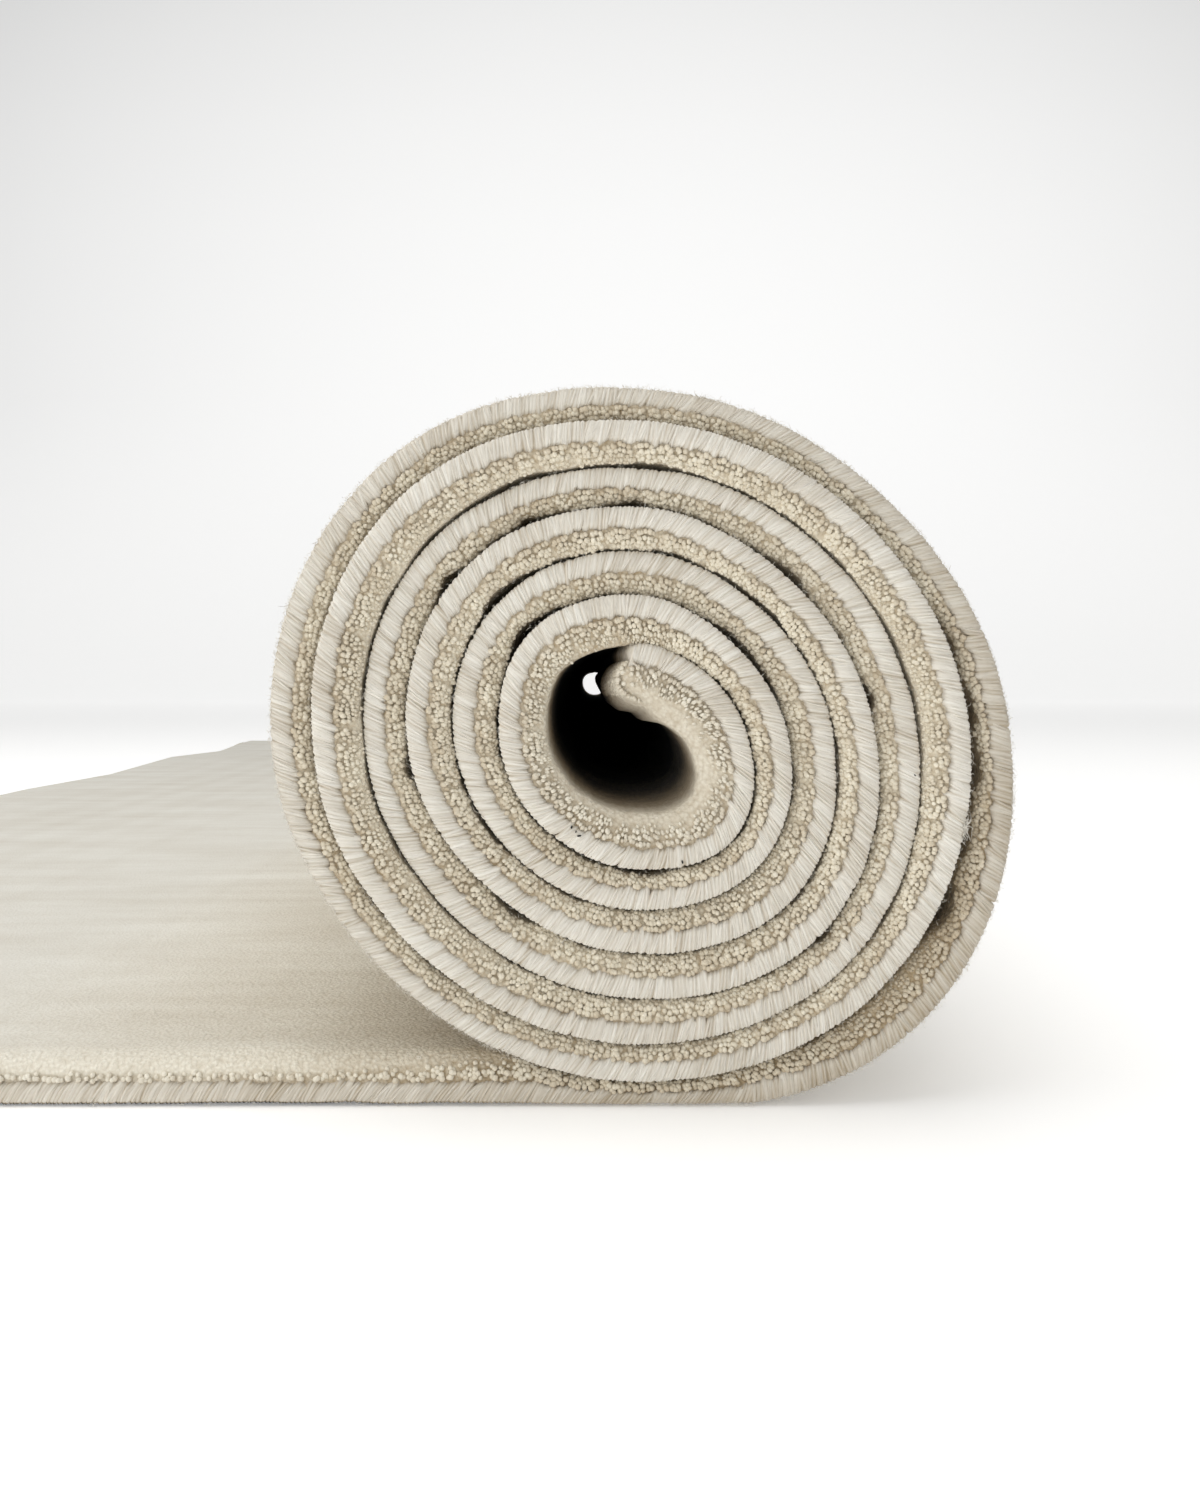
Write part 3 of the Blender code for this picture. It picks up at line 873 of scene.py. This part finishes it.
FIRST_ROW = 0.75 * MM
PRESSED_PILE = 4.0 * MM
CORE_KNOBBLY = 2.5 * MM
BUNCH_LEAN = 0.4


def lay_tufts(name, start, end, bunches, tuft, pile_top, to_place, most_rows, seed):
    """One mesh of tufts on the pile's edge, from the yarn up and over to the tips."""
    random = np.random.default_rng(seed)
    starts, widths, sizes = bunches
    columns = np.concatenate([
        start_at + CREASE / 2 + (np.arange(size) + 0.5) * tuft for start_at, size in zip(starts, sizes)
    ])
    columns = columns[(columns > start) & (columns < end)]
    bunch_lean = random.uniform(-BUNCH_LEAN, BUNCH_LEAN, len(starts))
    bunch_tone = random.normal(0, 0.05, len(starts))
    lumps = []
    for row in range(most_rows):
        at = columns + (row % 2 - 0.5) * 0.5 * tuft + random.normal(0, 0.2, len(columns)) * tuft
        foot = binding_height(at) + FIRST_ROW
        stands, fan = end_fan(at)
        pile = np.maximum(pile_top(at, 3 * MM) - foot - 0.3 * MM, 0.2 * MM) * stands
        over = edge_rounding(at)
        climbed = (row + 0.3 + random.normal(0, 0.15, len(at))) * tuft
        share = climbed / (np.hypot(pile, over) * 1.11)
        shown = knobbly_height(at) - random.exponential(0.7 * MM, len(at)) - CORE_KNOBBLY * core_share(at)
        keep = (share < 1.0) & ((pile < PRESSED_PILE) | (climbed < shown))
        at, foot, pile, over, share, climbed, fan = (
            values[keep] for values in (at, foot, pile, over, share, climbed, fan)
        )
        share = np.clip(share, 0, 1)
        swell, which = bunch_swell(at, starts, widths)
        sine, cosine = np.sin(share * np.pi / 2), np.cos(share * np.pi / 2)
        low = 1 - share
        depth = 1.15 * MM + over * (1 - cosine) + (0.7 - 1.05 * swell) * MM * low + waves(at, EDGE_WANDER)
        height = foot + pile * sine - (1.35 * swell - 0.5) * MM * low
        depth += random.normal(0, 0.2, len(at)) * MM
        height += random.normal(0, 0.16, len(at)) * MM
        at = at + bunch_lean[which] * (height - foot) + fan * sine
        # The tufts are lighter on the loose end, at the core, in the middle of a bunch and higher up the
        # edge. Painted shade makes the creases between bunches, the first row and the low outer turn darker.
        tone = 0.5 + 0.1 * loose_share(at) + 0.06 * core_share(at) + 0.16 * swell + 0.06 * share
        tone += bunch_tone[which] + random.normal(0, 0.06, len(at))
        tone -= 0.1 * (row == 0) + under_shade(at) * (0.5 + 0.9 * share)
        shrink = np.where(pile > PRESSED_PILE, 1 - 0.35 * np.clip(climbed / KNOBBLY, 0, 1), 1)
        tips = grey_tips(at, 0.0)
        lumps.append(np.stack([at, depth, height, tone, shrink, np.full(len(at), row), tips], axis=-1))
    lumps = np.concatenate(lumps)
    size = (random.uniform(1.2, 1.8, len(lumps)) * tuft * lumps[:, 4])[:, None, None]
    shape = turned(tuft_points, len(lumps), random) * size
    points = to_place(*(lumps[:, None, i] + shape[:, :, i] for i in range(3)))
    # The lower half of each tuft in the first row is darker, a painted shade under it.
    tones = lumps[:, 3, None] + np.minimum(shape[:, :, 2] / tuft, 0) * 0.35 * (lumps[:, 5, None] < 1)
    tips = lumps[:, 6, None]
    return lay_copies(name, points, tuft_faces, np.clip(tones, 0, 1), pile_material, tips)

# %% Tufts along the two long edges
HALFWAY = 1.45
BACK_TUFT = 1.75 * MM
END_ROOM = 1.5 * MM
back_bunches = lay_out_bunches(LENGTH, BACK_TUFT)
front_tufts = [
    lay_tufts(name, start, end, front_bunches, TUFT, front_thickness, place, 7, seed)
    for name, start, end, seed in (
        ("front_tufts_inner_turns", END_ROOM, HALFWAY, 31),
        ("front_tufts_outer_turns", HALFWAY, LENGTH - END_ROOM, 32),
    )
]
back_tufts = lay_tufts(
    "back_tufts", END_ROOM, LENGTH - END_ROOM, back_bunches, BACK_TUFT, back_thickness,
    along_back, 5, 33,
)

# %% [markdown]
# ## The tufts at the two ends
# The fan over an end gets tufts as well, in rows that climb round it. At the rolled-in end only the corners
# show, and the tufts stop a little way in from each.
# %% Tufts over the ends
END_COLUMNS = 60 * MM
LOWEST_ROW = -60


def lay_end_tufts(name, along_of, places, tuft, out, top_angle, seed):
    """Rows of tufts across an end, from the yarn up and over to the tips."""
    random = np.random.default_rng(seed)
    foot = binding_height(along_of(0.0))
    tall = thickness(along_of(0.0)) - foot
    spread = top_angle - LOWEST_ROW
    row_count = int(1.4 * (tall + FAN_MIDDLE + out) / tuft * spread / 150)
    side, row = (grid.ravel() for grid in np.meshgrid(places, np.arange(row_count)))
    angle = np.radians(LOWEST_ROW + spread * (row + 0.5 + random.normal(0, 0.25, len(row))) / row_count)
    high = foot + (tall - 0.2 * MM) * (np.sin(angle) - FAN_FOOT) / (1 - FAN_FOOT)
    from_end = fan_line(angle, out) + random.normal(0, 0.12, len(row)) * MM
    side = side + random.normal(0, 0.3, len(row)) * tuft
    shape = turned(tuft_points, len(row), random) * (random.uniform(1.0, 1.5, len(row)) * tuft)[:, None, None]
    x, y, z = np.moveaxis(shape, 2, 0)
    points = place(along_of(from_end[:, None] + x), side[:, None] + y, high[:, None] + z)
    from_edge = np.minimum(side, WIDTH - side)
    tones = 0.6 + random.normal(0, 0.08, len(row)) - core_shade(along_of(0.0), from_edge)
    tips = grey_tips(along_of(0.0), 1.0)
    return lay_copies(name, points, tuft_faces, tones[:, None], pile_material, tips)


corner_columns = np.arange(2.5 * MM, END_COLUMNS, TUFT)
corner_columns = np.concatenate([corner_columns, WIDTH - corner_columns])
loose_columns = np.arange(3 * MM, WIDTH - 3 * MM, 2 * MM)
end_tufts = [
    lay_end_tufts("rolled_end_tufts", lambda from_end: from_end, corner_columns, TUFT, NOSE, 90, 34),
    lay_end_tufts(
        "loose_end_tufts", lambda from_end: LENGTH - from_end, loose_columns, 2 * MM, BUTT, 15, 35
    ),
]

# %% [markdown]
# ## Stray fibres
# Wool sheds. Fine fibres stand off the yarn and the tips of the pile, and catch the light against the dark
# gaps between the turns. Each is a bent sliver, far thinner than a tuft.
# %% Stray fibres along the front
FIBRE_RADIUS = 0.06 * MM


def lay_fibres(
    name, count, seed, tuft_at=None, radius_of=FIBRE_RADIUS, start=0.0, end=LENGTH, yarn_share=0.55
):
    """Fibres all along the front edge, or one small tuft of them."""
    random = np.random.default_rng(seed)
    at = random.uniform(start, end, count) if tuft_at is None else random.normal(tuft_at, 0.9 * MM, count)
    on_yarn = random.random(count) < yarn_share
    root_depth = np.where(on_yarn, random.uniform(0.2, 1.4, count), random.uniform(0.6, 4.5, count)) * MM
    root_height = np.where(on_yarn, random.uniform(0.1, 1.2, count) * MM, thickness(at) - 0.8 * MM)
    root = np.stack([at, root_depth, root_height], axis=-1)
    direction = random.normal(size=(count, 3)) * (1.0, 0.6, 0.5) + (0, -0.7, 0)
    direction[:, 2] += np.where(on_yarn, -0.5, 0.5)
    direction /= np.linalg.norm(direction, axis=1, keepdims=True)
    bend = np.cross(direction, random.normal(size=(count, 3)))
    length = (0.4 + random.exponential(0.5 if tuft_at is None else 1.2, count))[:, None] * MM
    elbow = root + direction * length * 0.55
    tip = root + direction * length + bend * length * 0.3
    tip[:, 2] = np.maximum(tip[:, 2], -0.2 * MM)
    side = np.cross(direction, bend)
    side /= np.linalg.norm(side, axis=1, keepdims=True)
    up = np.cross(direction, side)
    points = np.stack([
        centre + radius_of * radius * (np.cos(angle) * side + np.sin(angle) * up)
        for centre, radius in ((root, 1.0), (elbow, 0.8), (tip, 0.3))
        for angle in (0, 2 * np.pi / 3, 4 * np.pi / 3)
    ], axis=1)
    sides = [(r * 3 + k, r * 3 + (k + 1) % 3) for r in (0, 1) for k in range(3)]
    faces = [face for a, b in sides for face in ((a, b, b + 3), (a, b + 3, a + 3))]
    faces = np.array([*faces, (0, 2, 1), (6, 7, 8)])
    points = place(points[:, :, 0], points[:, :, 1], points[:, :, 2])
    return lay_copies(name, points, faces, 0.9, yarn_material)


fibres = lay_fibres("stray_fibres", 5000, 41)
outer_start = ROLLED - OUTER_TURN
outer_fibres = lay_fibres("outer_turn_fibres", 2600, 42, start=outer_start, end=ROLLED, yarn_share=1.0)

# %% [markdown]
# ## Specks and a fluff
# Five dark specks sit on the pale yarn, and a small ball of fluff hangs on the edge at the right. A speck has
# its turn, its height in millimetres and its size.
# %% The specks and the fluff
SPECKS = ((0.606, 4.9, 0.8), (0.597, 4.5, 0.6), (0.590, 4.1, 0.85), (0.446, 1.7, 0.7), (4.27, 2.0, 0.5))
FLUFF_TURN = 5.292
FLUFF_FIBRES = 90
fluff = lay_fibres("fluff", FLUFF_FIBRES, 52, along_at(FLUFF_TURN), 0.1 * MM, yarn_share=1.0)

speck_material = wool_material(
    "speck", (0.03, 0.028, 0.025), (0.02, 0.02, 0.02), patches=0.0, relief=0.3, roughness=0.9, sheen=0.0
)
speck_points, speck_faces = ball_template(0.5 * MM)
random = np.random.default_rng(51)
speck_at, speck_high, speck_size = np.array(SPECKS).T
speck_shapes = turned(speck_points * (1.6, 0.6, 0.8), len(SPECKS), random)
x, y, z = np.moveaxis(speck_shapes * speck_size[:, None, None] * (1, 0.5, 1), 2, 0)
points = place(along_at(speck_at)[:, None] + x, y, speck_high[:, None] * MM + z)
specks = lay_copies("specks", points, speck_faces, 0.5, speck_material)

# %% [markdown]
# ## Floor and backdrop
# The carpet lies on a white floor in front of a pale backdrop. A studio makes both from one sheet of paper
# that rises in a wide curve. The paper glows, a painted light that is brightest in the middle of the wall and
# low down, with a painted shadow where the roll rests on it.
# %% The sheet's shape
COVE = 1.6
WALL_AT, WALL_ROWS, WALL_HEIGHT = 6.0, 20, 10
FLOOR_ROWS = (
    -6, -5, -4, -3, -2, -1.5, -1.2, -1.08, -1.05, -1.03, -1.015, -1.0, -0.9, -0.5, 0, 0.5, 0.9, 1.1, 1.5, 2, 3
)
BELOW = 0.2 * MM
sweep = np.linspace(0, np.pi / 2, 13)[1:]
COVE_AT = WALL_AT - COVE
sheet_y = np.concatenate([FLOOR_ROWS, [COVE_AT], COVE_AT + COVE * np.sin(sweep), np.full(WALL_ROWS, WALL_AT)])
sheet_z = np.concatenate([
    np.zeros(len(FLOOR_ROWS) + 1), COVE * (1 - np.cos(sweep)), COVE + np.linspace(0.4, WALL_HEIGHT, WALL_ROWS)
]) - BELOW
sheet_x = np.concatenate([np.arange(-12, -0.4, 0.5), np.arange(-0.1, 0.61, 0.05), np.arange(1.0, 12.1, 0.5)])
rows, columns = len(sheet_y), len(sheet_x)
grid_y, grid_z = sheet_y[:, None], sheet_z[:, None]
sheet_points = np.stack(np.broadcast_arrays(sheet_x, grid_y, grid_z), axis=-1)
corner_ids = (np.arange(rows - 1)[:, None] * columns + np.arange(columns - 1)).ravel()
sheet_faces = np.stack([corner_ids, corner_ids + 1, corner_ids + columns + 1, corner_ids + columns], axis=-1)

# %% The sheet's paint and glow
FLOOR_PAINT, WALL_PAINT = 0.93, 0.2
FLOOR_GLOW, FAR_FLOOR_GLOW = 0.29, 0.33
WALL_GLOW = 0.828
LOW_WALL_GLOW, LOW_WALL = 0.075, 1.2
GLOW_MIDDLE = (0.55, 1.95)
GLOW_FALL = (0.0128, 0.0367)
CONTACT_SHADE, CONTACT_HALF = 0.38, 0.13
up_wall = np.clip(sheet_z / COVE, 0, 1)[:, None]
away = np.clip((grid_y - 0.5) / 2.5, 0, 1)
# Painted light: the wall glows most around its middle, less further up and more near the floor.
wall_glow = WALL_GLOW - GLOW_FALL[0] * (sheet_x - GLOW_MIDDLE[0]) ** 2
wall_glow = wall_glow - GLOW_FALL[1] * np.maximum(grid_z - GLOW_MIDDLE[1], 0) ** 2
wall_glow += LOW_WALL_GLOW * bell(grid_z, 0, LOW_WALL)
floor_glow = FLOOR_GLOW + (FAR_FLOOR_GLOW - FLOOR_GLOW) * away
# Painted shadow: the floor glows less around where the roll rests on it.
under_roll = bell(sheet_x, ROLL_X, CONTACT_HALF) * np.interp(grid_y, [-1.045, -1.0, 1.0, 1.2], [0, 1, 1, 0])
floor_glow = floor_glow * (1 - CONTACT_SHADE * under_roll)
glow = np.maximum(floor_glow * (1 - up_wall) + wall_glow * up_wall, 0.0)
paint = FLOOR_PAINT * (1 - up_wall) + WALL_PAINT * up_wall + 0 * glow

stage_material = bpy.data.materials.new("studio_sheet")
stage_material.use_nodes = True
tree = stage_material.node_tree
glow_value = add_node(tree, "ShaderNodeAttribute", attribute_name="tone").outputs["Fac"]
paint_value = add_node(tree, "ShaderNodeAttribute", attribute_name="paint").outputs["Color"]
set_inputs(tree, tree.nodes["Principled BSDF"], {
    "Roughness": 0.8, "Base Color": paint_value,
    "Emission Color": (1.0, 1.0, 0.995, 1), "Emission Strength": glow_value,
})
studio = mesh_object("studio_sheet", sheet_points, sheet_faces, glow, [stage_material])
paint_values = studio.data.attributes.new("paint", "FLOAT", "POINT").data
paint_values.foreach_set("value", paint.astype(np.float32).ravel())
print("studio sheet", rows, "by", columns)

# %% [markdown]
# ## Light
# A broad soft light hangs over the carpet. Two small ones stand low at the front left, so the tufts and the
# yarn of the edge show their roundness.
# %% The lights
world = bpy.data.worlds.new("studio")
bpy.context.scene.world = world
world.use_nodes = True
background = {"Color": (1.0, 1.0, 0.99, 1), "Strength": 0.5}
set_inputs(world.node_tree, world.node_tree.nodes["Background"], background)
for name, place_at, aim_at, size, power, colour in (
    ("top", (-0.1, -0.7, 1.9), (0.1, -0.6, 0.0), (2.2, 2.4), 22, (1.0, 0.99, 0.975)),
    ("front", (-0.5, -2.2, 0.4), (0.15, -1.0, 0.1), (1.3, 0.9), 4.9, (1.0, 0.99, 0.98)),
    ("side", (-1.5, -1.3, 0.45), (0.0, -0.95, 0.05), (0.9, 0.6), 5, (1.0, 0.99, 0.98)),
):
    data = bpy.data.lights.new(name, "AREA")
    data.shape = "RECTANGLE"
    data.size, data.size_y = size
    data.energy = power
    data.color = colour
    light = bpy.data.objects.new(name, data)
    bpy.context.scene.collection.objects.link(light)
    light.location = place_at
    x, y, z = np.subtract(aim_at, place_at)
    light.rotation_euler = (math.atan2(math.hypot(x, y), -z), 0, math.atan2(y, x) - math.pi / 2)
bpy.context.scene.view_settings.view_transform = "Standard"
